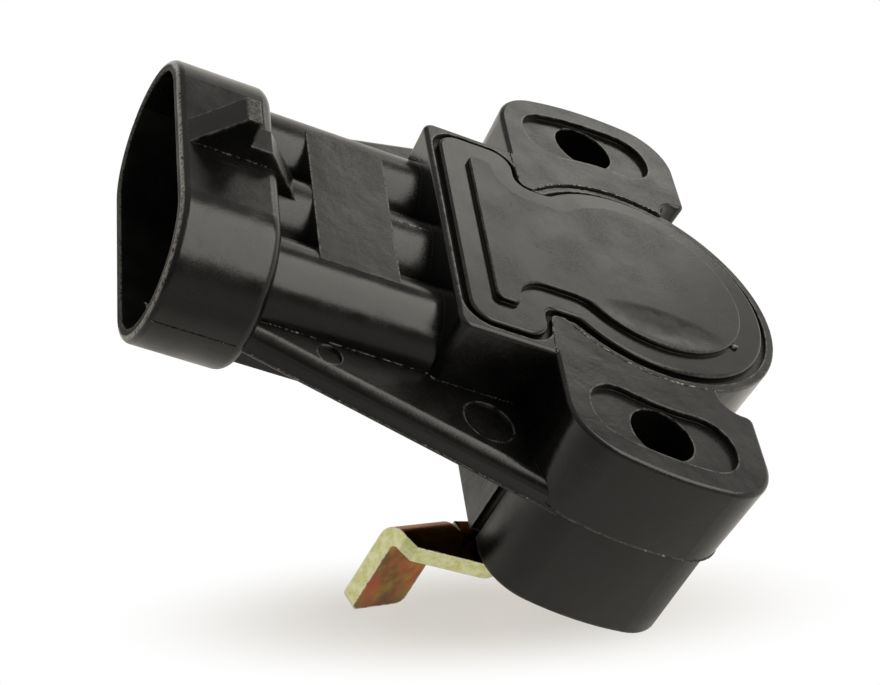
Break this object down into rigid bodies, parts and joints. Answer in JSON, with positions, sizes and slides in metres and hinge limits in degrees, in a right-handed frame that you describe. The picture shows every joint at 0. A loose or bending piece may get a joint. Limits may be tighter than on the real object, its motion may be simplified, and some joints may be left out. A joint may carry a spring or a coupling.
{
  "type": "throttle position sensor",
  "caption": "Rotary throttle position sensor: black moulded housing with two bolt ears, an oval socket for a plug, a sealed cover and a sprung steel drive lever below.",
  "frame": {"origin": "middle of the two bolt holes, on the mounting face", "axes": "+X from the connector to the round end, +Y along the line of bolt holes, +Z along the rotor axis and out of the cover"},
  "size_m": [0.0532, 0.0488, 0.03],
  "materials": {
    "housing_plastic": "satin black moulded",
    "cover_plastic": "satin black moulded",
    "sealant": "dull cured bead",
    "board": "bare laminate",
    "terminal_metal": "tinned",
    "seal_rubber": "dull",
    "spring_steel": "drawn wire",
    "rotor_plastic": "glass-filled, dull",
    "wiper_metal": "rolled spring bronze",
    "lever_steel": "zinc with a yellow passivate",
    "retainer_steel": "spring steel"
  },
  "bodies": {
    "case": {"housing": "housing_plastic", "cover": "cover_plastic", "cover_seal": "sealant", "element_board": "board", "terminal_near": "terminal_metal", "terminal_middle": "terminal_metal", "terminal_far": "terminal_metal", "shaft_seal": "seal_rubber", "spring_washer": "spring_steel", "return_spring": "spring_steel"},
    "drive": {"rotor": "rotor_plastic", "wiper": "wiper_metal", "lever": "lever_steel", "lever_retainer": "retainer_steel"}
  },
  "joints": [
    {"name": "lever_turn", "type": "hinge", "parent": "case", "child": "drive", "pos_m": [0.002, 0, 0], "axis": [0, 0, -1], "range_deg": [0, 95], "stiffness_Nm_per_rad": 0.02, "springref_deg": -34.38, "deforming": ["return_spring"]}
  ]
}
